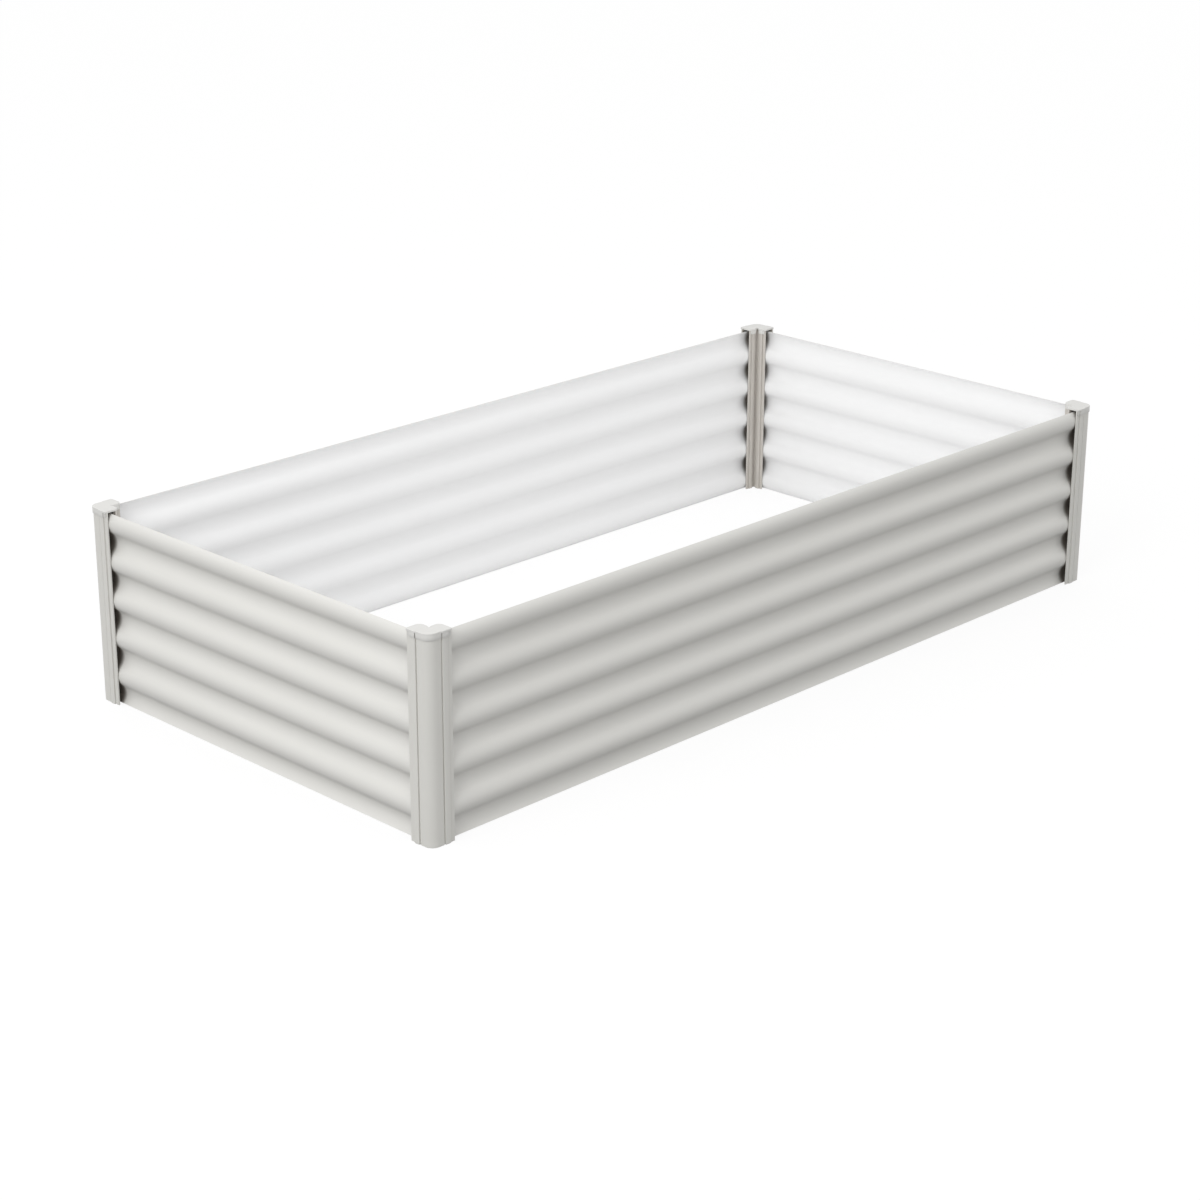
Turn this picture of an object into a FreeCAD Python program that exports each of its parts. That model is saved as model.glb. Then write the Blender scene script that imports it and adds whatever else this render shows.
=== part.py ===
"""Raised garden bed: four corrugated steel panels held by four slotted corner posts, each under a cap.

Millimetres, +Z up. The origin is on the ground at the middle of the bed, X runs along its length and
Y across it. A post and its cap are drawn with their own origin where the middle planes of the two
panels cross, with the outside of the bed towards +X and +Y and the two arms towards -X and -Y.
"""
import FreeCAD, Part
import math
import os

import Sketcher
from FreeCAD import Placement, Rotation, Vector

doc = FreeCAD.newDocument("raised_garden_bed")

# Driving dimensions: name, value, meaning
DIMENSIONS = (
    ("bed_length", 1851.0, "middle plane to middle plane of the short panels"),
    ("bed_width", 915.0, "middle plane to middle plane of the long panels"),
    ("wave_pitch", 76.2, "crest to crest of the corrugation"),
    ("wave_count", 5, "whole waves up a panel"),
    ("wave_depth", 17.0, "valley to crest of the sheet's middle line"),
    ("sheet_thickness", 0.8, "steel and its paint"),
    ("panel_end_gap", 0.3, "end of a panel to the floor of its slot"),
    ("arm_reach", 40.0, "corner of the middle planes to the end of an arm's outer lip"),
    ("inner_reach", 37.2, "corner of the middle planes to the end of the lip on the bed side"),
    ("slot_floor", 18.5, "corner of the middle planes to the floor of a slot"),
    ("slot_narrow", 9.2, "middle plane to the slot's sides at its floor"),
    ("slot_mouth", 9.4, "middle plane to the slot's sides between the lips"),
    ("slot_wide", 12.0, "middle plane to the slot's sides under the ribs"),
    ("lip_offset", 12.4, "middle plane to the outside of the lips that hold the panel"),
    ("lobe_offset", 14.3, "middle plane to the edges of the raised rib along each arm"),
    ("lobe_crown", 0.6, "height of the rib's crown over its edges"),
    ("lobe_far", 29.8, "corner of the middle planes to the rib's step down to the lip"),
    ("lobe_near", 17.9, "corner of the middle planes to the outer rib's edge at the groove"),
    ("inner_lobe_near", 19.2, "corner of the middle planes to the inner rib's edge at the recess"),
    ("inner_corner", 11.0, "middle plane to the bottom of the recess between the two inner ribs"),
    ("foot_width", 1.2, "width of the fine groove at the rib's foot"),
    ("foot_floor", 11.2, "middle plane to the bottom of the groove at the rib's foot"),
    ("groove_near", 15.7, "corner of the middle planes to the deep groove's edge at the round corner"),
    ("groove_floor", 10.8, "middle plane to the bottom of the deep groove"),
    ("groove_draft", 0.1, "slope of the deep groove's sides from its bottom to its edges"),
    ("face_offset", 13.2, "middle plane to the outer face at the round corner"),
    ("corner_radius", 17.4, "outer radius of the round corner"),
    ("post_wall", 2.0, "wall of the extruded post"),
    ("post_rise", 4.6, "top of a post over the top of the panels"),
    ("cap_plate", 3.8, "thickness of the cap's top"),
    ("cap_skirt", 8.8, "reach of the cap's skirt below its top plate"),
    ("cap_wall", 1.2, "wall of the cap's skirt"),
    ("cap_gap", 0.3, "clearance between the cap and the post"),
    ("plate_ledge", 0.1, "how far the cap's plate stands out over the crown of its skirt"),
    ("plate_setback", 0.4, "end of a post's arm to the end of the plate over it"),
    ("skirt_setback", 2.0, "end of an arm's outer lip to the end of the skirt over it"),
    ("inner_skirt_setback", 1.7, "end of an arm's inner lip to the end of the skirt over it"),
    ("slit_far", 17.5, "corner of the middle planes to the skirt's slit, on the rib's side"),
    ("slit_near", 15.9, "corner of the middle planes to the skirt's slit, on the corner's side"),
    ("outer_end_radius", 4.0, "rounding of the cap's arm ends in plan, outside"),
    ("inner_end_radius", 11.0, "rounding of the cap's arm ends in plan, on the bed side"),
    ("cap_edge_radius", 1.0, "rounding of the cap's top edge"),
    ("plug_depth", 8.0, "reach of the cap's plug into the post's core"),
    ("plug_wall", 1.5, "wall of the cap's plug"),
)

sheet = doc.addObject("Spreadsheet::Sheet", "Sizes")
for row, (name, value, meaning) in enumerate(DIMENSIONS, start=1):
    sheet.set(f"A{row}", name)
    sheet.set(f"B{row}", str(value))
    sheet.set(f"C{row}", meaning)
    sheet.setAlias(f"B{row}", name)
doc.recompute()


class Size:
    """A length that carries the sheet formula it came from, so that a sketch can be bound to it."""

    def __init__(self, value, formula):
        self.value = value
        self.formula = formula

    def combine(self, other, sign, value):
        return Size(value, f"({self.formula} {sign} {as_size(other).formula})")

    def __add__(self, other):
        return self.combine(other, "+", self.value + as_size(other).value)

    def __sub__(self, other):
        return self.combine(other, "-", self.value - as_size(other).value)

    def __mul__(self, other):
        return self.combine(other, "*", self.value * as_size(other).value)

    def __truediv__(self, other):
        return self.combine(other, "/", self.value / as_size(other).value)

    def __neg__(self):
        return Size(-self.value, f"(-1 * {self.formula})")


def as_size(number):
    return number if isinstance(number, Size) else Size(number, str(number))


def size(name):
    """The driving dimension of that name."""
    return Size(float(sheet.get(name)), f"Sizes.{name}")


# What follows from the driving dimensions
panel_height = size("wave_pitch") * size("wave_count")
post_height = panel_height + size("post_rise")
corner_centre = size("corner_radius") - size("face_offset")
slot_end = size("slot_floor") + size("panel_end_gap")
half_length = size("bed_length") / 2
half_width = size("bed_width") / 2
cap_growth = size("cap_gap") + size("cap_wall")
cap_rib = size("lobe_offset") + size("lobe_crown") + cap_growth + size("plate_ledge")
skirt_reach = size("arm_reach") - size("skirt_setback")
inner_skirt_reach = size("inner_reach") - size("inner_skirt_setback")
nothing = as_size(0)


def arc_radius(chord, rise):
    """Radius of the arc that stands rise above a chord: (chord squared / 4 + rise squared) / (2 rise)."""
    return (chord * chord / 4 + rise * rise) / (rise * 2)


def new_body(label):
    body = doc.addObject("PartDesign::Body", label)
    body.Label = label
    return body


def origin_feature(body, role):
    return next(feature for feature in body.Origin.OriginFeatures if feature.Role == role)


def new_sketch(body, label, role, height=None):
    """An empty sketch on one of the body's own origin planes, raised by height along its normal."""
    sketch = body.newObject("Sketcher::SketchObject", label)
    sketch.AttachmentSupport = [(origin_feature(body, role), "")]
    sketch.MapMode = "FlatFace"
    if height is not None:
        sketch.AttachmentOffset = Placement(Vector(0, 0, height.value), Rotation())
        sketch.setExpression("AttachmentOffset.Base.z", height.formula)
    return sketch


def bound_constraint(sketch, *definition, length):
    index = sketch.addConstraint(Sketcher.Constraint(*definition, length.value))
    sketch.setExpression(f"Constraints[{index}]", length.formula)


def arc_between(start, end, radius, side):
    """The arc from start to end, its centre right of the way there for side 1 and left for side -1."""
    chord = end - start
    rightward = Vector(chord.y, -chord.x, 0).normalize() * side
    reach = math.sqrt(radius ** 2 - (chord.Length / 2) ** 2)
    centre = (start + end) * 0.5 + rightward * reach
    angles = [math.atan2(point.y - centre.y, point.x - centre.x) for point in (end, start)]
    if side < 0:
        angles.reverse()
    return Part.ArcOfCircle(Part.Circle(centre, Vector(0, 0, 1), radius), *angles)


def draw_loop(sketch, corners):
    """Draw a closed loop clockwise through its corners and bind every corner to the sheet.

    A corner is (x, y), reached along a straight line, or (x, y, radius, side), reached along an arc:
    side 1 bows it out of the loop and side -1 bows it in.
    """
    points = [Vector(corner[0].value, corner[1].value, 0) for corner in corners]
    edges = []
    for corner, start, end in zip(corners, points[-1:] + points[:-1], points):
        if len(corner) == 2:
            edges.append((sketch.addGeometry(Part.LineSegment(start, end)), 1, 2))
            continue
        radius, side = corner[2:]
        index = sketch.addGeometry(arc_between(start, end, radius.value, side))
        edges.append((index, 2, 1) if side > 0 else (index, 1, 2))
        bound_constraint(sketch, "Radius", index, length=radius)
    for corner, (index, first, last), (following, next_first, next_last) in zip(
            corners, edges, edges[1:] + edges[:1]):
        sketch.addConstraint(Sketcher.Constraint("Coincident", index, last, following, next_first))
        bound_constraint(sketch, "DistanceX", -1, 1, index, last, length=corner[0])
        bound_constraint(sketch, "DistanceY", -1, 1, index, last, length=corner[1])


def pad(body, label, sketch, length, side="One side", downwards=False):
    feature = body.newObject("PartDesign::Pad", label)
    feature.Profile = sketch
    feature.SideType = side
    feature.Reversed = downwards
    feature.setExpression("Length", length.formula)
    sketch.Visibility = False
    return feature


def place(body, turn, x, y):
    """Turn a finished body about Z by whole degrees and stand it at x, y."""
    body.Placement = Placement(Vector(x.value, y.value, 0), Rotation(Vector(0, 0, 1), turn))
    body.setExpression("Placement.Base.x", x.formula)
    body.setExpression("Placement.Base.y", y.formula)


# --- corrugated panels ---------------------------------------------------------------------------

def wave_loop():
    """One whole wave of the sheet: inwards from its foot, then outwards, of two equal tangent arcs.

    The sheet's middle line has radius R, with the centre of each bend a quarter of the pitch above
    the point where the bends meet. There both faces lie half the thickness from the middle line,
    square to its slope.
    """
    quarter = size("wave_pitch") / 4
    half_depth = size("wave_depth") / 2
    radius = arc_radius(size("wave_pitch") / 2, half_depth)
    half_sheet = size("sheet_thickness") / 2
    across = half_sheet * (radius - half_depth) / radius
    along = half_sheet * quarter / radius
    foot, middle, head = along, along + quarter * 2, along + quarter * 4
    tight, wide = radius - half_sheet, radius + half_sheet
    return [
        (-across, foot - along),
        (-across, middle + along, wide, 1),
        (-across, head - along, tight, -1),
        (across, head + along),
        (across, middle - along, wide, 1),
        (across, foot + along, tight, -1),
    ]


def corrugated_panel(label, gap_between_slots, turn, x, y):
    """A panel of whole waves that stands on its lower edge, its outer side towards +Y before it is turned."""
    body = new_body(label)
    sketch = new_sketch(body, f"{label}_wave", "YZ_Plane")
    draw_loop(sketch, wave_loop())
    wave = pad(body, f"{label}_strip", sketch, gap_between_slots, side="Symmetric")
    doc.recompute()
    stack = body.newObject("PartDesign::LinearPattern", f"{label}_waves")
    stack.Originals = [wave]
    stack.Direction = (origin_feature(body, "Z_Axis"), [""])
    stack.Mode = "Spacing"
    stack.setExpression("Offset", "Sizes.wave_pitch")
    stack.setExpression("Occurrences", "Sizes.wave_count")
    body.Tip = stack
    place(body, turn, x, y)
    return body


# --- corner posts --------------------------------------------------------------------------------

def flipped(corners, flip):
    """The same corners flipped over and met in the opposite order, so an arc belongs to its other end."""
    chain = [flip(*corner[:2]) for corner in reversed(corners)]
    for place_in_list, corner in enumerate(reversed(corners)):
        if len(corner) == 4 and place_in_list + 1 < len(chain):
            chain[place_in_list + 1] += corner[2:]
    return chain


def across_diagonal(corners):
    """The same corners on the other arm: x and y change places."""
    return flipped(corners, lambda x, y: (y, x))


def across_arm(corners):
    """The same corners on the other face of the -X arm."""
    return flipped(corners, lambda x, y: (x, -y))


def arm_face(reach, near):
    """One face of the -X arm: its lip from the end, the groove at the rib's foot, and the rib to near."""
    far, lip, rib = size("lobe_far"), size("lip_offset"), size("lobe_offset")
    foot = far + size("foot_width")
    return [
        (-reach, lip),
        (-foot, lip),
        (-foot, size("foot_floor")),
        (-far, size("foot_floor")),
        (-far, rib),
        (-near, rib, arc_radius(far - near, size("lobe_crown")), 1),
    ]


def both_arms(outer, grown):
    """The outside of both arms, joined round the corner."""
    return outer + [round_corner(grown)] + across_diagonal(outer)[1:]


def both_inner_arms(inner):
    """The bed side of both arms, which share the inner corner."""
    return across_diagonal(inner)[:-1] + inner


def slot():
    """The slot in the -X arm, in on the bed side and out on the outer side.

    It is wide under the ribs, and its narrow floor leaves room for the deep groove and the recess.
    """
    mouth, wide, narrow = size("slot_mouth"), size("slot_wide"), size("slot_narrow")

    def half(near):
        wide_far = size("lobe_far") - size("post_wall")
        wide_near = near + size("post_wall") * 0.85
        return [
            (-wide_far, -mouth),
            (-wide_far, -wide),
            (-wide_near, -wide),
            (-wide_near, -narrow),
            (-size("slot_floor"), -narrow),
        ]

    inwards, outwards = half(size("inner_lobe_near")), across_arm(half(size("lobe_near")))
    return [(-size("inner_reach"), -mouth)] + inwards + outwards + [(-size("arm_reach"), mouth)]


def round_corner(grown):
    return (size("face_offset") + grown, -corner_centre, size("corner_radius") + grown, 1)


def post_loop():
    draft, corner = size("groove_draft"), size("inner_corner")
    outer = arm_face(size("arm_reach"), size("lobe_near")) + [
        (-size("lobe_near") + draft, size("groove_floor")),
        (-size("groove_near") - draft, size("groove_floor")),
        (-size("groove_near"), size("face_offset")),
        (-corner_centre, size("face_offset")),
    ]
    inner = [(-corner, -corner), (-size("inner_lobe_near"), -corner)]
    inner += across_arm(arm_face(size("inner_reach"), size("inner_lobe_near")))
    return both_arms(outer, nothing) + across_diagonal(slot()) + both_inner_arms(inner) + slot()


def core_loop(shrunk):
    """The closed chamber behind the round corner, made smaller all round by shrunk.

    It steps round the two deep grooves.
    """
    wall = size("post_wall")
    face = size("face_offset") - wall - shrunk
    web = size("slot_floor") - wall - shrunk
    inner = size("inner_corner") - wall - shrunk
    step_far = size("groove_near") - wall * 0.75 - shrunk
    step_face = size("groove_floor") - wall - shrunk
    step = [
        (-web, step_face),
        (-step_far, step_face),
        (-step_far, face),
        (-corner_centre, face),
    ]
    corner = (face, -corner_centre, size("corner_radius") - wall - shrunk, 1)
    return step + [corner] + across_diagonal(step)[1:] + [(-inner, -web), (-inner, -inner), (-web, -inner)]


def corner_post(label, turn, x, y):
    """An extruded post: two slotted arms at right angles and a hollow round corner."""
    body = new_body(label)
    section = new_sketch(body, f"{label}_section", "XY_Plane")
    draw_loop(section, post_loop())
    draw_loop(section, core_loop(nothing))
    pad(body, f"{label}_extrusion", section, post_height)
    place(body, turn, x, y)
    return body


# --- caps ----------------------------------------------------------------------------------------

def plate_loop():
    """The cap seen from above: it bridges the post's grooves, and its arms have rounded ends."""
    end = size("arm_reach") - size("plate_setback")
    outer_round, inner_round = size("outer_end_radius"), size("inner_end_radius")
    face, corner = size("face_offset") + cap_growth, size("lip_offset") + cap_growth
    outer = [
        (-end, cap_rib - outer_round),
        (-end + outer_round, cap_rib, outer_round, 1),
        (-size("lobe_near"), cap_rib),
        (-size("groove_near"), face),
        (-corner_centre, face),
    ]
    inner = [
        (-corner, -corner),
        (-size("inner_lobe_near") - cap_growth, -cap_rib),
        (-end + inner_round, -cap_rib),
        (-end, -cap_rib + inner_round, inner_round, 1),
    ]
    return both_arms(outer, cap_growth) + both_inner_arms(inner)


def reversed_chain(corners):
    """The same way walked backwards: a stretch that bowed out now bows in."""
    backwards = [corner[:2] for corner in reversed(corners)]
    for place_in_list, corner in enumerate(reversed(corners)):
        if len(corner) == 4 and place_in_list + 1 < len(backwards):
            backwards[place_in_list + 1] += (corner[2], -corner[3])
    return backwards


def corner_skirt():
    """The wall round the post's corner, a clearance away from it, between the slits over the deep grooves."""
    def side(grown):
        face, slit = size("face_offset") + grown, size("slit_near")
        return [(-slit, face), (-corner_centre, face), round_corner(grown), (face, -slit)]
    return side(cap_growth) + reversed_chain(side(size("cap_gap")))


def rib_skirt(reach, end):
    """The wall over the outer rib of the -X arm, a clearance away from it, from reach on the lip to end."""
    def side(grown):
        far = size("lobe_far") + grown
        lip, rib = size("lip_offset") + grown, size("lobe_offset") + grown
        return [(-reach, lip), (-far, lip), (-far, rib), (-end, rib, arc_radius(far - end, size("lobe_crown")), 1)]
    return side(cap_growth) + reversed_chain(side(size("cap_gap")))


def cap(label, turn, x, y):
    """A moulded cap: a plate on the post's end, a skirt in five pieces round it and a plug in its core."""
    body = new_body(label)
    plan = new_sketch(body, f"{label}_plan", "XY_Plane", post_height)
    draw_loop(plan, plate_loop())
    plate = pad(body, f"{label}_plate", plan, size("cap_plate"))
    doc.recompute()
    heights = [face.CenterOfMass.z for face in plate.Shape.Faces]
    rounding = body.newObject("PartDesign::Fillet", f"{label}_edge")
    rounding.Base = (plate, [f"Face{heights.index(max(heights)) + 1}"])
    rounding.setExpression("Radius", "Sizes.cap_edge_radius")
    doc.recompute()
    skirt = new_sketch(body, f"{label}_skirt_section", "XY_Plane", post_height)
    draw_loop(skirt, corner_skirt())
    outer_rib = rib_skirt(skirt_reach, size("slit_far"))
    inner_rib = across_arm(rib_skirt(inner_skirt_reach, size("inner_lobe_near")))
    for loop in (outer_rib, inner_rib):
        draw_loop(skirt, loop)
        draw_loop(skirt, across_diagonal(loop))
    pad(body, f"{label}_skirt", skirt, size("cap_skirt"), downwards=True)
    ring = new_sketch(body, f"{label}_plug_ring", "XY_Plane", post_height)
    draw_loop(ring, core_loop(size("cap_gap")))
    draw_loop(ring, core_loop(size("cap_gap") + size("plug_wall")))
    pad(body, f"{label}_plug", ring, size("plug_depth"), downwards=True)
    place(body, turn, x, y)
    return body


# --- assembly ------------------------------------------------------------------------------------

long_span = size("bed_length") - slot_end * 2
short_span = size("bed_width") - slot_end * 2
parts = [
    corrugated_panel("panel_long_back", long_span, 0, nothing, half_width),
    corrugated_panel("panel_long_front", long_span, 180, nothing, -half_width),
    corrugated_panel("panel_short_left", short_span, 90, -half_length, nothing),
    corrugated_panel("panel_short_right", short_span, -90, half_length, nothing),
]
for corner, turn, x, y in (
        ("back_right", 0, half_length, half_width),
        ("back_left", 90, -half_length, half_width),
        ("front_left", 180, -half_length, -half_width),
        ("front_right", 270, half_length, -half_width)):
    parts.append(corner_post(f"post_{corner}", turn, x, y))
    parts.append(cap(f"cap_{corner}", turn, x, y))
doc.recompute()

for item in doc.Objects:
    if {"Invalid", "Error"} & set(item.State):
        raise RuntimeError(f"{item.Label} did not build: {item.State}")
for body in parts:
    if body.Shape.isNull() or not body.Shape.isValid():
        raise RuntimeError(f"{body.Label} has no valid solid")

os.makedirs("parts", exist_ok=True)
for body in parts:
    body.Shape.exportStep(f"parts/{body.Label}.step")
    box = body.Shape.BoundBox
    print(f"{body.Label:18s} {len(body.Shape.Solids)} solid  volume {body.Shape.Volume / 1000:9.2f} cm3"
          f"  z {box.ZMin:.2f} to {box.ZMax:.2f}")
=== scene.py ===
# %% [markdown]
# # A raised garden bed of corrugated steel
#
# The bed is an open frame without a floor. Two long and two short corrugated panels stand on the
# ground, and a slotted post at each corner holds their ends. A moulded cap closes the top of each post.
#
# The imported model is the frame: it fixes the size and the place of all twelve pieces. This lesson
# gives each piece its real surface, which is a rolled sheet with two faces, an extrusion with softened
# edges, and a moulding with a rounded rim. Every number is in metres unless its name says otherwise.

import math

import bpy
import numpy as np
from mathutils import Matrix, Vector
from mathutils.geometry import tessellate_polygon


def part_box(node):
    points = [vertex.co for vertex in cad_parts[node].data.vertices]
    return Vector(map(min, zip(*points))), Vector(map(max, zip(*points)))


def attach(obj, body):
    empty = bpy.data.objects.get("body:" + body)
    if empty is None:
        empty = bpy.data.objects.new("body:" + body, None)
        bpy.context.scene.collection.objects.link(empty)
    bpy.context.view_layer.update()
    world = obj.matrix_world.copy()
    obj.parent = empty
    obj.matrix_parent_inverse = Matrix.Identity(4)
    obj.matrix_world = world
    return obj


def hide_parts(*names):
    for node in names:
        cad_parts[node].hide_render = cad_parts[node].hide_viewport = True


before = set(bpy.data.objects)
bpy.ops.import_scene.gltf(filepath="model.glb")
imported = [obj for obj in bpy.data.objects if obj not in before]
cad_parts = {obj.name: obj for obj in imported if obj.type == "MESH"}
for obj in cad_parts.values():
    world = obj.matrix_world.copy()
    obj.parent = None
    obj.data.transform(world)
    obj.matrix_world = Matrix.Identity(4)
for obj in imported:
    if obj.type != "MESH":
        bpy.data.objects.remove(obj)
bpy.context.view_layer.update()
MM = 0.001

# %% [markdown]
# ## What the frame says
#
# The middle planes of the panels are the lines that everything else is measured from, as on the real
# bed: a post stands where two of them cross. The boxes of the panels give those planes, the height of
# the sheet and the depth of its waves, so the looks follow the frame if its size changes.

# %% Measure the frame
WAVES = 5
SHEET = 0.8 * MM

long_low, long_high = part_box("panel_long_back")
short_low, short_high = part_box("panel_short_right")
half_width = (long_low.y + long_high.y) / 2
half_length = (short_low.x + short_high.x) / 2
long_span = long_high.x - long_low.x
short_span = short_high.y - short_low.y
post_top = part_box("post_back_right")[1].z
cap_low, cap_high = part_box("cap_back_right")
print(f"middle planes {2 * half_length:.4f} by {2 * half_width:.4f}, posts {post_top:.4f} high")

# %% [markdown]
# ## Finishes
#
# Everything outside is a warm off-white. The panels are painted steel, satin, with the faint lengthwise
# streaks that rolling leaves, and their backs carry a cooler, whiter coat. The posts are powder coated,
# which gives a fine orange peel, and the caps are moulded plastic with a fine even grain. Two noise
# textures make all three: a broad one drifts the tone and the gloss, and a small one dents the surface.
# Where the sheets stand in the posts' slots, the colour fades to a dark painted shade.


# %% A painted or moulded finish
DRIFT_SCALE = 9.0
DARK_AT, LIGHT_AT = 0.25, 0.75
GLOSS_LOW, GLOSS_HIGH = -0.05, 0.07


def finish(name, colour, roughness, grain, bump, tone=0.02, stretch=(1.0, 1.0, 1.0), source="Object"):
    """A satin coat: its tone drifts by a few percent, its gloss by more, and a fine grain dents it.

    grain is the size of the dents in metres, bump their depth, and stretch draws the noise out.
    """
    material = bpy.data.materials.new(name)
    material.use_nodes = True
    nodes, links = material.node_tree.nodes, material.node_tree.links
    shader = nodes["Principled BSDF"]
    shader.inputs["Specular IOR Level"].default_value = 0.5

    place = nodes.new("ShaderNodeTexCoord")
    mapping = nodes.new("ShaderNodeMapping")
    mapping.inputs["Scale"].default_value = stretch
    links.new(place.outputs[source], mapping.inputs["Vector"])

    drift = nodes.new("ShaderNodeTexNoise")
    drift.inputs["Scale"].default_value = DRIFT_SCALE
    drift.inputs["Detail"].default_value = 4.0
    links.new(mapping.outputs["Vector"], drift.inputs["Vector"])

    shades = nodes.new("ShaderNodeValToRGB")
    dark, light = shades.color_ramp.elements
    dark.position, light.position = DARK_AT, LIGHT_AT
    dark.color = (*(channel * (1 - tone) for channel in colour), 1)
    light.color = (*(min(channel * (1 + tone), 1) for channel in colour), 1)
    links.new(drift.outputs["Fac"], shades.inputs["Fac"])
    links.new(shades.outputs["Color"], shader.inputs["Base Color"])

    gloss = nodes.new("ShaderNodeMapRange")
    gloss.inputs["To Min"].default_value = roughness + GLOSS_LOW
    gloss.inputs["To Max"].default_value = roughness + GLOSS_HIGH
    links.new(drift.outputs["Fac"], gloss.inputs["Value"])
    links.new(gloss.outputs["Result"], shader.inputs["Roughness"])

    dents = nodes.new("ShaderNodeTexNoise")
    dents.inputs["Scale"].default_value = 1 / grain
    dents.inputs["Detail"].default_value = 2.0
    links.new(mapping.outputs["Vector"], dents.inputs["Vector"])
    relief = nodes.new("ShaderNodeBump")
    relief.inputs["Strength"].default_value = 1.0
    relief.inputs["Distance"].default_value = bump
    links.new(dents.outputs["Fac"], relief.inputs["Height"])
    links.new(relief.outputs["Normal"], shader.inputs["Normal"])
    return material


def slot_shaded_ends(material, colour):
    """Fade the material's colour to a painted shade where the mesh's attribute in_slot goes from 0 to 1."""
    nodes, links = material.node_tree.nodes, material.node_tree.links
    shader = nodes["Principled BSDF"]
    depth = nodes.new("ShaderNodeAttribute")
    depth.attribute_name = "in_slot"
    fade = nodes.new("ShaderNodeMix")
    fade.data_type = "RGBA"
    factor, painted, shade_colour, result = fade.inputs[0], fade.inputs[6], fade.inputs[7], fade.outputs[2]
    shade_colour.default_value = (*colour, 1)
    links.new(depth.outputs["Fac"], factor)
    links.new(shader.inputs["Base Color"].links[0].from_socket, painted)
    links.new(result, shader.inputs["Base Color"])


# %% The finishes of the bed
ROLLED = (0.25, 2.0, 1.0)
panel_outside = finish("panel_outside", (0.785, 0.777, 0.745), 0.50, 3.0 * MM, 0.03 * MM, 0.012, ROLLED, "UV")
panel_inside = finish("panel_inside", (0.93, 0.93, 0.93), 0.50, 3.0 * MM, 0.03 * MM, 0.010, ROLLED, "UV")
# Painted shade: the dark colour that the ends of the sheets fade to inside the posts' slots, where little light gets
# in.
SLOT_SHADE = (0.23, 0.205, 0.18)
slot_shaded_ends(panel_outside, SLOT_SHADE)
slot_shaded_ends(panel_inside, SLOT_SHADE)
post_coat = finish("post_coat", (0.742, 0.734, 0.697), 0.45, 1.2 * MM, 0.02 * MM)
# Painted shade on the posts: nearly black deep in a slot, darker between its lips, and darker and warmer on the bed
# side.
slot_shade_coat = finish("slot_shade_coat", (0.100, 0.090, 0.080), 0.60, 1.2 * MM, 0.02 * MM)
bed_side_shade_coat = finish("bed_side_shade_coat", (0.600, 0.568, 0.525), 0.45, 1.2 * MM, 0.02 * MM)
lip_shade_coat = finish("lip_shade_coat", (0.440, 0.405, 0.365), 0.50, 1.2 * MM, 0.02 * MM)
cap_plastic = finish("cap_plastic", (0.730, 0.724, 0.700), 0.42, 0.6 * MM, 0.01 * MM)

# %% [markdown]
# ## From arrays to a mesh
#
# A piece is worked out as whole arrays of points. One helper turns points and faces into a mesh whose
# object stays at the origin, one numbers the four-sided faces of a grid, and one hands the finished
# piece to the frame.


# %% Mesh helpers
SHARP = math.radians(35)


def grid_faces(rows, columns, close_columns=False):
    """The quads of a rows x columns grid of points, row by row, as an array of point numbers."""
    row = np.arange(rows - 1)[:, None]
    column = np.arange(columns if close_columns else columns - 1)[None, :]
    following = (column + 1) % columns
    corners = (row * columns + column, row * columns + following,
               (row + 1) * columns + following, (row + 1) * columns + column)
    return np.stack(corners, axis=-1).reshape(-1, 4)


def make_piece(name, points, faces, materials, face_material, uv=None):
    """A mesh object at the origin, smooth except at edges sharper than SHARP."""
    mesh = bpy.data.meshes.new(name)
    mesh.from_pydata(points, [], faces)
    for material in materials:
        mesh.materials.append(material)
    mesh.polygons.foreach_set("material_index", np.asarray(face_material, dtype=np.int32))
    mesh.polygons.foreach_set("use_smooth", np.ones(len(faces), dtype=bool))
    if uv is not None:
        layer = mesh.uv_layers.new(name="sheet")
        corner_points = np.zeros(len(mesh.loops), dtype=np.int32)
        mesh.loops.foreach_get("vertex_index", corner_points)
        layer.data.foreach_set("uv", uv[corner_points].astype(np.float32).ravel())
    mesh.set_sharp_from_angle(angle=SHARP)
    mesh.update()
    piece = bpy.data.objects.new(name, mesh)
    bpy.context.scene.collection.objects.link(piece)
    return piece


def dress(piece, node):
    """Let the piece stand for a node of the frame and move with it."""
    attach(piece, "root")
    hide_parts(node)


def turned(points, degrees, x, y):
    """The points turned about Z and moved to x, y."""
    angle = math.radians(degrees)
    turn = np.array([[math.cos(angle), math.sin(angle), 0], [-math.sin(angle), math.cos(angle), 0], [0, 0, 1]])
    return points @ turn + np.array([x, y, 0])


# %% [markdown]
# ## The corrugated panels
#
# A panel is one sheet, rolled into five waves. A sine curve is close, but a rolling mill bends the
# sheet round rollers, so each bend is really an arc, and the arcs meet in a common tangent. The sheet's
# middle line is worked out first. Each face lies half the thickness off it, square to its slope.


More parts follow.
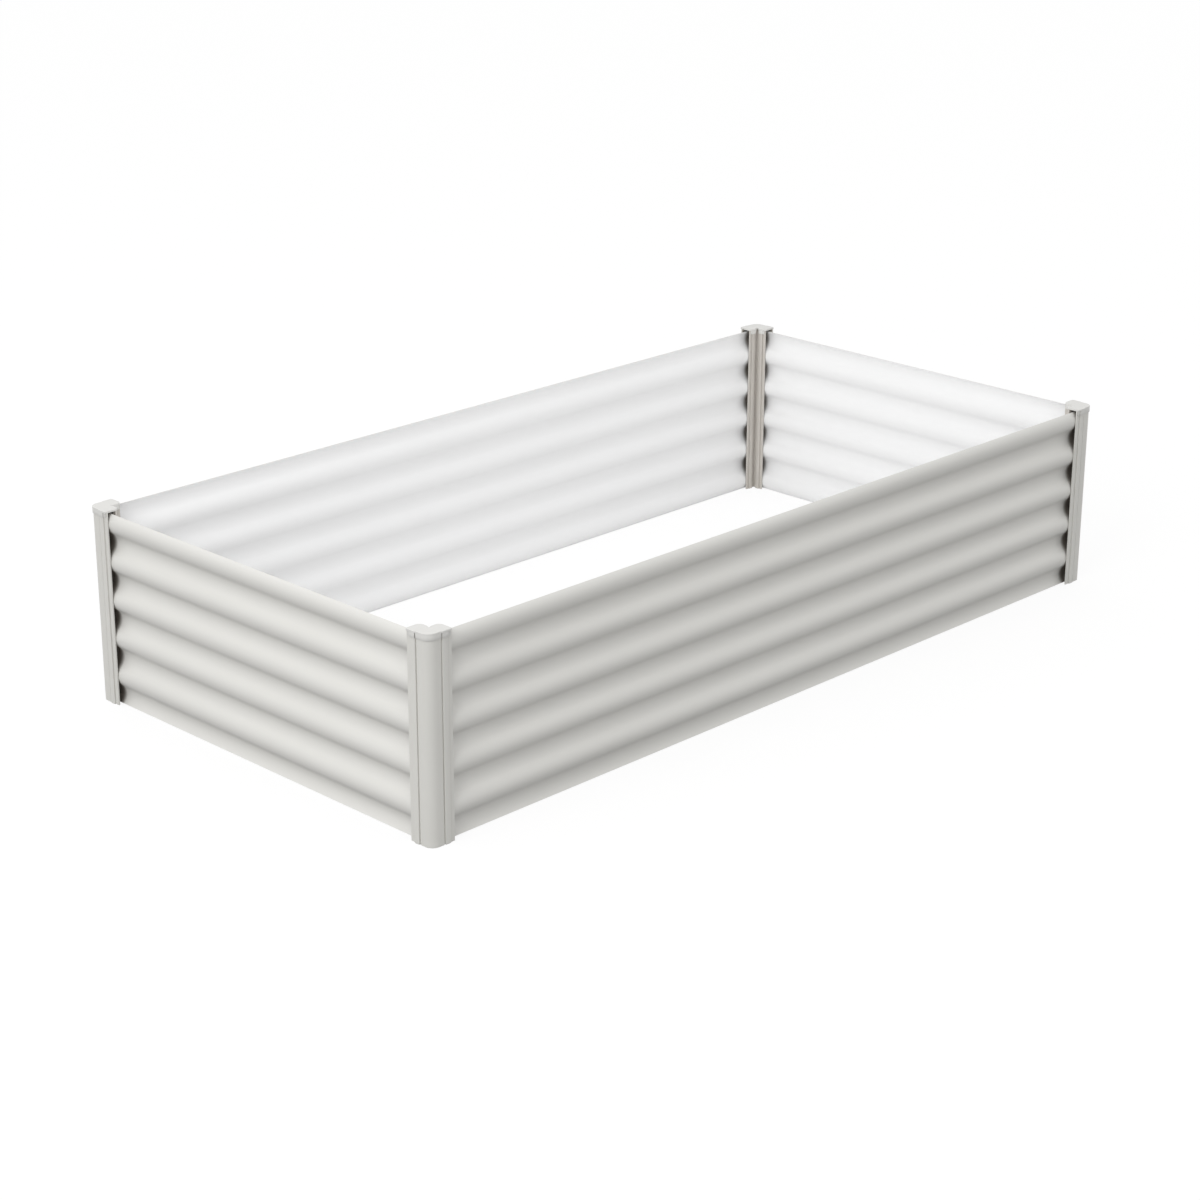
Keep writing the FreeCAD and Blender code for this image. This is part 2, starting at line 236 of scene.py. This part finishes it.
# %% The rolled section
def rolled_section(height, depth, steps_per_bend):
    """The closed outline of the sheet, as (outwards, upwards) pairs: up the outside and down the inside.

    A bend has the radius R = (q^2 + h^2) / 2h, for a quarter pitch q and half a depth h, and turns from
    -asin(q / R) to +asin(q / R). Odd bends bulge inwards and even ones outwards.
    """
    half_depth = (depth - SHEET) / 2
    slack = height / WAVES / 4
    for _ in range(4):
        radius = (slack ** 2 + half_depth ** 2) / (2 * half_depth)
        lift = SHEET / 2 * slack / radius
        slack = (height - 2 * lift) / WAVES / 4
    reach = math.asin(slack / radius)
    turn = np.linspace(-reach, reach, steps_per_bend + 1)
    bend = np.arange(2 * WAVES)[:, None]
    side = np.where(bend % 2 == 0, -1.0, 1.0)
    upwards = lift + slack * (2 * bend + 1) + radius * np.sin(turn)
    outwards = side * (radius * np.cos(turn) - (radius - half_depth))
    middle = np.stack([outwards, upwards], axis=-1)
    square = np.stack([np.cos(turn) * np.ones_like(side), side * np.sin(turn)], axis=-1)
    keep = np.ones(middle.shape[:2], dtype=bool)
    keep[1:, 0] = False
    outside = (middle + square * SHEET / 2)[keep]
    inside = (middle - square * SHEET / 2)[keep]
    return np.concatenate([outside, inside[::-1]])


STEPS_PER_BEND = 14
section = rolled_section(long_high.z - long_low.z, long_high.y - long_low.y, STEPS_PER_BEND)
print(f"the rolled section has {len(section)} points, {section[:, 1].min():.4f} to {section[:, 1].max():.4f} high")

# %% [markdown]
# A panel is that section carried straight along. Its ends stand in the posts' slots, where hardly any
# light gets in, so the mesh carries a number, in_slot, that the finish above turns into a painted shade.

# %% The four panels
FADE_OUTSIDE, FADE_INSIDE, FADE = 22.5 * MM, 16.0 * MM, 11.0 * MM
COLUMNS_BETWEEN, COLUMNS_IN_FADE = 25, 8


def corrugated_panel(node, span, degrees, x, y):
    """The section carried straight along the panel, closed by a strip of quads at both ends.

    Both ends stand in a post's slot, and there the paint fades to a painted shade: in_slot rises from 0 to 1 over
    FADE, and starts at FADE_OUTSIDE from the end on the outside and at FADE_INSIDE on the other face.
    """
    around, half = len(section), len(section) // 2
    end = span / 2 - np.linspace(FADE_OUTSIDE, 0, COLUMNS_IN_FADE)
    along = np.concatenate([-end[::-1], np.linspace(-end[0], end[0], COLUMNS_BETWEEN)[1:-1], end])
    start = span / 2 - np.where(np.arange(around) < half, FADE_OUTSIDE, FADE_INSIDE)
    in_slot = np.clip((np.abs(along)[:, None] - start) / FADE, 0, 1)
    columns = len(along)
    points = np.empty((columns, around, 3))
    points[..., 0] = along[:, None]
    points[..., 1:] = section
    walls = grid_faces(columns, around, close_columns=True)
    low = np.arange(half - 1)
    strip = np.stack([low, around - 1 - low, around - 2 - low, low + 1], axis=-1)
    far_strip = strip[:, ::-1] + (columns - 1) * around
    faces = np.concatenate([walls, strip, far_strip])

    run = np.concatenate([[0], np.linalg.norm(np.diff(section, axis=0), axis=1).cumsum()])
    uv = np.stack(np.broadcast_arrays(along[:, None], run[None, :]), axis=-1).reshape(-1, 2)
    inner_wall = (walls % around).min(axis=1) >= half
    face_material = np.concatenate([inner_wall, np.zeros(2 * len(strip), dtype=bool)])
    piece = make_piece(f"{node}_sheet", turned(points.reshape(-1, 3), degrees, x, y), faces,
                       [panel_outside, panel_inside], face_material, uv)
    depth = piece.data.attributes.new("in_slot", "FLOAT", "POINT")
    depth.data.foreach_set("value", in_slot.ravel().astype(np.float32))
    dress(piece, node)


corrugated_panel("panel_long_back", long_span, 0, 0, half_width)
corrugated_panel("panel_long_front", long_span, 180, 0, -half_width)
corrugated_panel("panel_short_left", short_span, 90, -half_length, 0)
corrugated_panel("panel_short_right", short_span, -90, half_length, 0)
print("four panels")

# %% [markdown]
# ## Outlines of the extrusion
#
# The post is an extrusion: one outline, the same at every height. Its outline is written for the arm
# that runs towards -X, and the other arm is the same outline with x and y exchanged. A real die has no
# knife edges, so every sharp corner is then softened by a small quadratic curve.
#
# Each arm is a slot between two lips. A crowned rib runs along either face, with a fine groove at its
# foot towards the lip, and a deep groove parts the outer rib from the round corner. These two grooves
# are the dark lines down a post, so they are cut as deep as the wall allows. The lip on the bed side is
# the shorter of the two, which lets the panel be swung into its slot.

# %% Sizes of the post's section
ARM_REACH, INNER_REACH = 40.0 * MM, 37.2 * MM
SLOT_FLOOR, SLOT_NARROW, SLOT_MOUTH, SLOT_WIDE = 18.5 * MM, 9.2 * MM, 9.4 * MM, 12.0 * MM
LIP_OFFSET, LOBE_OFFSET, LOBE_CROWN = 12.4 * MM, 14.3 * MM, 0.6 * MM
LOBE_FAR, LOBE_NEAR, INNER_LOBE_NEAR = 29.8 * MM, 17.9 * MM, 19.2 * MM
FOOT_WIDTH, FOOT_FLOOR, INNER_CORNER = 1.2 * MM, 11.2 * MM, 11.0 * MM
GROOVE_NEAR, GROOVE_FLOOR, GROOVE_DRAFT = 15.7 * MM, 10.8 * MM, 0.1 * MM
FACE_OFFSET, CORNER_RADIUS, WALL = 13.2 * MM, 17.4 * MM, 2.0 * MM
THIN_SIDE, THIN_STEP = 0.85 * WALL, 0.75 * WALL
CORNER_CENTRE = FACE_OFFSET - CORNER_RADIUS
EDGE = 0.4 * MM
ARC_STEPS = 10


# %% Outline helpers
def crown(start, end, rise):
    """Points from start to end on the flat arc that stands rise to the left: a parabola is close enough.

    Each point is start + t (end - start) + 4 t (1 - t) rise, square to the chord.
    """
    start, end = np.array(start), np.array(end)
    t = np.linspace(0, 1, ARC_STEPS + 1)[:, None]
    chord = end - start
    left = np.array([-chord[1], chord[0]]) / np.linalg.norm(chord)
    return start + t * chord + 4 * t * (1 - t) * rise * left


def quarter_turn(centre, radius, start_degrees):
    """A clockwise quarter circle from start_degrees."""
    angle = np.radians(start_degrees - np.linspace(0, 90, 2 * ARC_STEPS + 1))
    return np.array(centre) + radius * np.stack([np.cos(angle), np.sin(angle)], axis=-1)


def across_diagonal(chain):
    """The same chain on the other arm, walked the other way."""
    return chain[::-1, ::-1]


def across_arm(chain):
    """The same chain on the arm's other face, walked the other way."""
    return chain[::-1] * (1, -1)


SHORT_SIDE = 0.4
CURVE_POINTS = 5


def soften(outline, cut):
    """Replace every corner that turns more than SHARP by the curve (1-t)^2 A + 2t(1-t) P + t^2 B.

    A and B lie on the corner's two sides, cut away from the corner P, or SHORT_SIDE of the side if that is less.
    """
    before, after = np.roll(outline, 1, axis=0) - outline, np.roll(outline, -1, axis=0) - outline
    before_length = np.linalg.norm(before, axis=1, keepdims=True)
    after_length = np.linalg.norm(after, axis=1, keepdims=True)
    bend = (before * after).sum(axis=1, keepdims=True) / (before_length * after_length)
    is_corner = bend > -math.cos(SHARP)
    cut = np.where(is_corner, np.minimum(cut, SHORT_SIDE * np.minimum(before_length, after_length)), 0)
    a, b = outline + before / before_length * cut, outline + after / after_length * cut
    t = np.linspace(0, 1, CURVE_POINTS)[:, None, None]
    curve = ((1 - t) ** 2 * a + 2 * t * (1 - t) * outline + t ** 2 * b).transpose(1, 0, 2)
    keep = np.ones(curve.shape[:2], dtype=bool)
    keep[:, 1:] = is_corner
    return curve[keep]


def moved_in(outline, distance):
    """A clockwise outline moved inwards: each point goes along the mitre of its two sides' normals."""
    side = np.roll(outline, -1, axis=0) - outline
    normal = np.stack([side[:, 1], -side[:, 0]], axis=-1) / np.linalg.norm(side, axis=1, keepdims=True)
    previous = np.roll(normal, 1, axis=0)
    mitre = (normal + previous) / (1 + (normal * previous).sum(axis=1, keepdims=True))
    return outline + distance * mitre


# %% A solid between heights
NO_AREA = 1e-12


def end_faces(points, rings, facing):
    """Triangles between rings of points at one height, which face up for 1 and down for -1."""
    loops = [[Vector(point) for point in points[ring]] for ring in rings]
    corners = np.concatenate(rings)[np.array(tessellate_polygon(loops))]
    a, b, c = (points[corners[:, k]] for k in range(3))
    area = np.cross(b - a, c - a)[:, 2]
    has_area = np.abs(area) > NO_AREA
    corners, turned_over = corners[has_area], area[has_area] * facing < 0
    corners[turned_over] = corners[turned_over][:, ::-1]
    return corners.tolist()


def carried_up(outlines, heights, insets):
    """A closed solid between two or more heights: each outline moved in by the inset at each height.

    The first outline is the outside, clockwise, and the rest are holes, anticlockwise.
    """
    points, walls, bottoms, tops = [], [], [], []
    first = 0
    for outline in outlines:
        around = len(outline)
        points.extend(np.column_stack([moved_in(outline, inset), np.full(around, height)])
                      for height, inset in zip(heights, insets))
        walls.extend((grid_faces(len(heights), around, close_columns=True)[:, ::-1] + first).tolist())
        bottoms.append(first + np.arange(around))
        tops.append(bottoms[-1] + (len(heights) - 1) * around)
        first += len(heights) * around
    points = np.concatenate(points)
    return points, walls, [*end_faces(points, bottoms, -1), *end_faces(points, tops, 1)]


# %% [markdown]
# The chains below are parts of an outline. They run clockwise, from the end of an arm to its root, and
# every second one is the same chain flipped over the diagonal or over the arm, so each size is written once.


# %% The post's outline
def arm_face(reach, near):
    """One face of the -X arm: the lip from its end, the groove at the rib's foot, and the rib up to near."""
    foot = LOBE_FAR + FOOT_WIDTH
    return np.concatenate([
        [(-reach, LIP_OFFSET), (-foot, LIP_OFFSET), (-foot, FOOT_FLOOR), (-LOBE_FAR, FOOT_FLOOR)],
        crown((-LOBE_FAR, LOBE_OFFSET), (-near, LOBE_OFFSET), LOBE_CROWN),
    ])


def round_corner(grown):
    """The round corner, made larger by grown: a quarter circle of the radius CORNER_RADIUS + grown."""
    return quarter_turn((CORNER_CENTRE, CORNER_CENTRE), CORNER_RADIUS + grown, 90)


def slot_outline():
    """The slot in the -X arm, from its mouth on the bed side round to its mouth outside.

    It is wide under the ribs, and its narrow floor leaves room for the deep groove and the inner corner.
    """
    def half(near):
        wide_far, wide_near = LOBE_FAR - WALL, near + THIN_SIDE
        return np.array([(-wide_far, -SLOT_MOUTH), (-wide_far, -SLOT_WIDE), (-wide_near, -SLOT_WIDE),
                         (-wide_near, -SLOT_NARROW), (-SLOT_FLOOR, -SLOT_NARROW)])
    return np.concatenate([[(-INNER_REACH, -SLOT_MOUTH)], half(INNER_LOBE_NEAR),
                           across_arm(half(LOBE_NEAR)), [(-ARM_REACH, SLOT_MOUTH)]])


def post_outline():
    """The whole outline, clockwise: both arms outside, a slot, the bed side of both arms, and the other slot."""
    outer = np.concatenate([arm_face(ARM_REACH, LOBE_NEAR), [
        (-LOBE_NEAR + GROOVE_DRAFT, GROOVE_FLOOR), (-GROOVE_NEAR - GROOVE_DRAFT, GROOVE_FLOOR),
        (-GROOVE_NEAR, FACE_OFFSET)]])
    inner = np.concatenate([
        [(-INNER_LOBE_NEAR, -INNER_CORNER)], across_arm(arm_face(INNER_REACH, INNER_LOBE_NEAR))])
    return np.concatenate([outer, round_corner(0), across_diagonal(outer), across_diagonal(slot_outline()),
                           across_diagonal(inner), [(-INNER_CORNER, -INNER_CORNER)], inner, slot_outline()])


def core_outline(shrunk):
    """The chamber behind the round corner, made smaller by shrunk, anticlockwise as a hole is.

    It steps round the two deep grooves.
    """
    face, web, inner = (offset - WALL - shrunk for offset in (FACE_OFFSET, SLOT_FLOOR, INNER_CORNER))
    step_far, step_face = GROOVE_NEAR - THIN_STEP - shrunk, GROOVE_FLOOR - WALL - shrunk
    step = np.array([(-web, step_face), (-step_far, step_face), (-step_far, face)])
    clockwise = np.concatenate([step, round_corner(-WALL - shrunk), across_diagonal(step),
                                [(-inner, -web), (-inner, -inner), (-web, -inner)]])
    return clockwise[::-1]


# %% [markdown]
# ## The corner posts
#
# The outside of a post is powder coated. Between the lips of a slot the coat is darkened as painted shade,
# deeper in the slot it is painted nearly black as shade, and the side towards the bed is painted darker and
# warmer as shade. So each face of the mesh takes its finish from where it lies in the section.


# %% Which finish a face takes
POST_COATS = [post_coat, slot_shade_coat, bed_side_shade_coat, lip_shade_coat]
OUTSIDE, DEEP_IN_SLOT, BED_SIDE, BETWEEN_LIPS = range(4)
SLACK = 0.1 * MM


def post_finish(centres):
    """The number of the coat for each face centre, seen from where a runs along the nearer arm and b across.

    The slot is wide only between its two steps.
    """
    a, b = centres[:, :2].min(axis=1), centres[:, :2].max(axis=1)
    near = np.where(b > 0, LOBE_NEAR, INNER_LOBE_NEAR)
    past_lips = a > -LOBE_FAR + WALL - SLACK
    half_slot = np.where(past_lips & (a < -near - WALL / 2), SLOT_WIDE, SLOT_MOUTH) + SLACK
    # The faces in the slot and on the bed side take the coats of painted shade.
    in_slot = (a < -SLOT_FLOOR + SLACK) & (a > -ARM_REACH + EDGE) & (np.abs(b) < half_slot)
    bed_side = (b < -FOOT_FLOOR + EDGE) & ~in_slot
    between_lips = in_slot & (a < -LOBE_FAR + WALL - SLACK)
    return np.select([between_lips, in_slot, bed_side], [BETWEEN_LIPS, DEEP_IN_SLOT, BED_SIDE], OUTSIDE)


# %% The four posts
CORNERS = {
    "back_right": (0, half_length, half_width),
    "back_left": (90, -half_length, half_width),
    "front_left": (180, -half_length, -half_width),
    "front_right": (270, half_length, -half_width),
}
SAWN = 0.3 * MM

post_outlines = [soften(post_outline(), EDGE), soften(core_outline(0), EDGE)]
post_heights = (0, SAWN, post_top - SAWN, post_top)
points, walls, ends = carried_up(post_outlines, post_heights, (SAWN, 0, 0, SAWN))
centres = np.array([points[face].mean(axis=0) for face in walls])
finishes = np.concatenate([post_finish(centres), np.full(len(ends), OUTSIDE)])
for corner, (degrees, x, y) in CORNERS.items():
    piece = make_piece(f"post_{corner}_extrusion", turned(points, degrees, x, y), walls + ends, POST_COATS, finishes)
    dress(piece, f"post_{corner}")
print("four posts")

# %% [markdown]
# ## The caps
#
# A cap is moulded: a plate with a rounded rim, a skirt round the post, and a plug that presses into the
# post's core. The skirt is slit at both deep grooves, so it is five pieces: one round the corner and one
# over each of the four ribs. The rim is a quarter circle: its outline moves in as its height goes up,
# and one more ring on the flat top keeps the shading of the rim off the plate.

# %% The cap's outline
CLEARANCE, CAP_WALL, LEDGE = 0.3 * MM, 1.2 * MM, 0.1 * MM
GROWTH = CLEARANCE + CAP_WALL
CAP_REACH, SKIRT_REACH, INNER_SKIRT_REACH = 39.6 * MM, 38.0 * MM, 35.5 * MM
OUTER_END_RADIUS, INNER_END_RADIUS, RIM = 4.0 * MM, 11.0 * MM, 1.0 * MM
SLIT_FAR, SLIT_NEAR = 17.5 * MM, 15.9 * MM
PLUG_DEPTH, PLUG_WALL, INTO_PLATE = 8.0 * MM, 1.5 * MM, 0.5 * MM
PLATE_CORNER, RIM_RINGS = 1.2 * MM, 7
CAP_RIB = LOBE_OFFSET + LOBE_CROWN + GROWTH + LEDGE


def plate_outline():
    """The cap from above: rounded arm ends, a bridge over the groove and a notch at the inner corner."""
    corner = LIP_OFFSET + GROWTH
    outer = np.concatenate([
        quarter_turn((-CAP_REACH + OUTER_END_RADIUS, CAP_RIB - OUTER_END_RADIUS), OUTER_END_RADIUS, 180),
        [(-LOBE_NEAR, CAP_RIB), (-GROOVE_NEAR, FACE_OFFSET + GROWTH)]])
    inner = np.concatenate([
        [(-INNER_LOBE_NEAR - GROWTH, -CAP_RIB)],
        quarter_turn((-CAP_REACH + INNER_END_RADIUS, -CAP_RIB + INNER_END_RADIUS), INNER_END_RADIUS, 270)])
    return np.concatenate([outer, round_corner(GROWTH), across_diagonal(outer), across_diagonal(inner),
                           [(-corner, -corner)], inner])


def corner_skirt():
    """The skirt round the corner, from slit to slit and back along its lining."""
    near, far = ([(-SLIT_NEAR, FACE_OFFSET + grown), *round_corner(grown), (FACE_OFFSET + grown, -SLIT_NEAR)]
                 for grown in (CLEARANCE, GROWTH))
    return np.array([*far, *near[::-1]])


def rib_skirt(reach, end):
    """The skirt over one rib, from reach along the lip and the rib as far as end, and back along its lining."""
    def side(grown):
        lip, rib, far = LIP_OFFSET + grown, LOBE_OFFSET + grown, LOBE_FAR + grown
        return [(-reach, lip), (-far, lip), *crown((-far, rib), (-end, rib), LOBE_CROWN)]
    return np.array([*side(GROWTH), *side(CLEARANCE)[::-1]])


# %% The four caps
def joined(solids):
    """Several solids as one list of points and one of faces."""
    points, faces, first = [], [], 0
    for solid_points, walls, ends in solids:
        points.append(solid_points)
        faces.extend([[corner + first for corner in face] for face in walls + ends])
        first += len(solid_points)
    return np.concatenate(points), faces


def cap_solids():
    """The plate, the five skirts and the plug, which end a little inside the plate.

    Round the rim, by an angle u from 0 to 90 degrees, the height is top - RIM + RIM sin(u) and the inset
    is RIM - RIM cos(u).
    """
    rim_turn = np.radians(np.linspace(0, 90, RIM_RINGS))
    rim_heights = cap_high.z - RIM + RIM * np.sin(rim_turn)
    rim_insets = RIM - RIM * np.cos(rim_turn)
    plate = carried_up([soften(plate_outline(), PLATE_CORNER)], (post_top, *rim_heights, cap_high.z),
                       (0, *rim_insets, RIM + INTO_PLATE))

    root = post_top + INTO_PLATE
    outer_rib = rib_skirt(SKIRT_REACH, SLIT_FAR)
    inner_rib = across_arm(rib_skirt(INNER_SKIRT_REACH, INNER_LOBE_NEAR))
    ribs = (outer_rib, inner_rib, across_diagonal(outer_rib), across_diagonal(inner_rib))
    skirts = [carried_up([soften(outline, SAWN)], (cap_low.z, cap_low.z + SAWN, post_top, root),
                         (SAWN / 2, 0, 0, INTO_PLATE / 2))
              for outline in (corner_skirt(), *ribs)]

    plug_outlines = [soften(core_outline(CLEARANCE)[::-1], EDGE), soften(core_outline(CLEARANCE + PLUG_WALL), EDGE)]
    plug = carried_up(plug_outlines, (post_top - PLUG_DEPTH, root), (0, 0))
    return [plate, *skirts, plug]


cap_points, cap_faces = joined(cap_solids())
cap_finish = np.zeros(len(cap_faces), dtype=int)
for corner, (degrees, x, y) in CORNERS.items():
    stood = turned(cap_points, degrees, x, y)
    piece = make_piece(f"cap_{corner}_moulding", stood, cap_faces, [cap_plastic], cap_finish)
    dress(piece, f"cap_{corner}")
print("four caps")

# %% [markdown]
# ## Floor, light and camera
#
# The floor looks white to the camera, as a studio sweep does, but it gives back only part of the light,
# so that the undersides of the waves stay shaded. Inside the bed it gives back more, since the white
# walls throw so much light about there. The world is an even white dome, and one large soft lamp on the
# left makes the short side lighter than the long one.


# %% What the camera and mirrors see
def seen_directly(nodes, links):
    """1 for camera, glossy and transmission rays and 0 for all others: the greatest of the three."""
    path = nodes.new("ShaderNodeLightPath")
    level = path.outputs["Is Camera Ray"]
    for ray in ("Is Glossy Ray", "Is Transmission Ray"):
        greater = nodes.new("ShaderNodeMath")
        greater.operation = "MAXIMUM"
        links.new(level, greater.inputs[0])
        links.new(path.outputs[ray], greater.inputs[1])
        level = greater.outputs["Value"]
    return level


# %% The floor
SHADOW, GLOW = 0.15, 1.02
BOUNCE_OUTSIDE, BOUNCE_IN_BED = 0.28, 0.90


def floor_finish(name, bounce_shade):
    """White for the camera, with part of the bed's shadow, and a softer bounce for the light."""
    material = bpy.data.materials.new(name)
    material.use_nodes = True
    nodes, links = material.node_tree.nodes, material.node_tree.links
    nodes.remove(nodes["Principled BSDF"])
    output = nodes["Material Output"]
    glow = nodes.new("ShaderNodeEmission")
    glow.inputs["Strength"].default_value = GLOW
    white = nodes.new("ShaderNodeBsdfDiffuse")
    white.inputs["Color"].default_value = (1, 1, 1, 1)
    shadowed = nodes.new("ShaderNodeMixShader")
    shadowed.inputs["Fac"].default_value = SHADOW
    links.new(glow.outputs["Emission"], shadowed.inputs[1])
    links.new(white.outputs["BSDF"], shadowed.inputs[2])
    bounce = nodes.new("ShaderNodeBsdfDiffuse")
    bounce.inputs["Color"].default_value = (bounce_shade, bounce_shade, bounce_shade, 1)
    mix = nodes.new("ShaderNodeMixShader")
    links.new(seen_directly(nodes, links), mix.inputs["Fac"])
    links.new(bounce.outputs["BSDF"], mix.inputs[1])
    links.new(shadowed.outputs["Shader"], mix.inputs[2])
    links.new(mix.outputs["Shader"], output.inputs["Surface"])
    return material


FLOOR_REACH = 30.0
floor_x, floor_y = np.meshgrid((-FLOOR_REACH, -half_length, half_length, FLOOR_REACH),
                               (-FLOOR_REACH, -half_width, half_width, FLOOR_REACH))
floor_points = np.column_stack([floor_x.ravel(), floor_y.ravel(), np.zeros(floor_x.size)])
floor_faces = grid_faces(4, 4)
middle_face = np.arange(len(floor_faces)) == len(floor_faces) // 2
floor_finishes = [floor_finish("studio_floor", BOUNCE_OUTSIDE), floor_finish("ground_in_the_bed", BOUNCE_IN_BED)]
floor = make_piece("floor", floor_points, floor_faces, floor_finishes, middle_face)


# %% The light
DOME = 0.85
LAMP_DIRECTION, LAMP_DISTANCE, LAMP_WIDTH, LAMP_POWER = (-0.78, -0.18, 0.60), 6.0, 3.0, 88.0


def white_dome(strength):
    """An even white world, seen as plain white by the camera and by mirrors."""
    world = bpy.data.worlds.new("studio")
    bpy.context.scene.world = world
    world.use_nodes = True
    nodes, links = world.node_tree.nodes, world.node_tree.links
    background = nodes["Background"]
    background.inputs["Color"].default_value = (1, 1, 1, 1)
    level = nodes.new("ShaderNodeMapRange")
    level.inputs["To Min"].default_value = strength
    level.inputs["To Max"].default_value = 1.0
    links.new(seen_directly(nodes, links), level.inputs["Value"])
    links.new(level.outputs["Result"], background.inputs["Strength"])


def soft_lamp(name, direction, distance, width, power):
    """A square area lamp that far from the bed in that direction, turned to face it."""
    lamp = bpy.data.lights.new(name, "AREA")
    lamp.size = width
    lamp.energy = power
    holder = bpy.data.objects.new(name, lamp)
    direction = Vector(direction).normalized()
    holder.location = direction * distance
    holder.rotation_euler = direction.to_track_quat("Z", "Y").to_euler()
    bpy.context.scene.collection.objects.link(holder)


white_dome(DOME)
soft_lamp("left_lamp", LAMP_DIRECTION, LAMP_DISTANCE, LAMP_WIDTH, LAMP_POWER)

# %% [markdown]
# The camera's place, turn and lens were worked out from the photograph's own edges: the posts are
# upright, the rows of crests are level, and the corners lie on a known rectangle. It looks down on the
# near corner from about twenty degrees above the horizon.

# %% The camera
CAMERA_PLACE = Vector((-3.66436, -3.54351, 1.99738))
CAMERA_AZIMUTH, CAMERA_ELEVATION, CAMERA_ROLL = (math.radians(a) for a in (-45.5204, 20.6684, 0.1874))
LENS_MM, SENSOR_MM = 80.711, 36.0
HALF_PIXEL = 0.5 / 1200


def camera_axes(azimuth, elevation, roll):
    """Right, up and back: back points from the bed to the camera, and roll turns the other two."""
    back = Vector((math.sin(azimuth) * math.cos(elevation), -math.cos(azimuth) * math.cos(elevation),
                   math.sin(elevation)))
    level = Vector((math.cos(azimuth), math.sin(azimuth), 0))
    upright = back.cross(level)
    right = math.cos(roll) * level + math.sin(roll) * upright
    up = math.cos(roll) * upright - math.sin(roll) * level
    return right, up, back


camera_data = bpy.data.cameras.new("camera")
camera_data.lens, camera_data.sensor_width = LENS_MM, SENSOR_MM
camera_data.shift_x, camera_data.shift_y = -HALF_PIXEL, HALF_PIXEL
camera_data.clip_end = 100.0
camera = bpy.data.objects.new("camera", camera_data)
turn = Matrix(camera_axes(CAMERA_AZIMUTH, CAMERA_ELEVATION, CAMERA_ROLL)).transposed()
camera.matrix_world = Matrix.Translation(CAMERA_PLACE) @ turn.to_4x4()
bpy.context.scene.collection.objects.link(camera)
bpy.context.scene.camera = camera
bpy.context.scene.view_settings.view_transform = "Standard"
